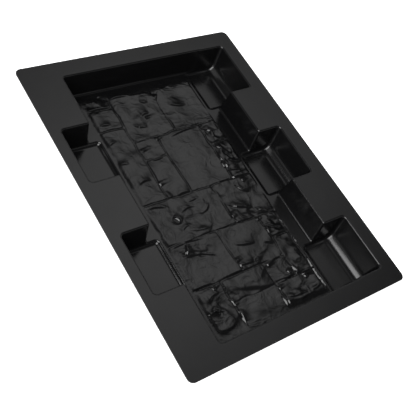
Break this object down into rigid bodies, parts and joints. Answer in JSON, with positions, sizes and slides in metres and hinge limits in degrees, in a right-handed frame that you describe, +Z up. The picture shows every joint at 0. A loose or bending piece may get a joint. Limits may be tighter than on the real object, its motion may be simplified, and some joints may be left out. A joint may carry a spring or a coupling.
{
  "type": "formed game tray insert",
  "caption": "Shallow black vacuum-formed box insert: a flat rim around one long channel with a flagstone-relief floor, and finger pockets stepping out of both long sides.",
  "frame": {"origin": "centre of the rim's outline, at the height of the undersides of the pockets, which the tray stands on", "axes": "+Z up out of the tray, +Y along its length towards the far end, +X across it towards the side with three pockets"},
  "size_m": [0.21, 0.284, 0.0273],
  "materials": {
    "black_sheet": "semi-gloss formed sheet"
  },
  "bodies": {
    "root": {"rim_flange": "black_sheet", "channel_wall_far": "black_sheet", "channel_wall_near": "black_sheet", "stone_floor": "black_sheet", "right_pocket_far": "black_sheet", "right_pocket_middle": "black_sheet", "right_pocket_near": "black_sheet", "left_pocket_far": "black_sheet", "left_pocket_near": "black_sheet", "right_land_far": "black_sheet", "right_land_near": "black_sheet", "right_ledge_far": "black_sheet", "right_ledge_near": "black_sheet", "left_land_far": "black_sheet", "left_land_middle": "black_sheet", "left_land_near": "black_sheet", "left_ledge_far": "black_sheet", "left_ledge_middle": "black_sheet", "left_ledge_near": "black_sheet"}
  },
  "joints": []
}
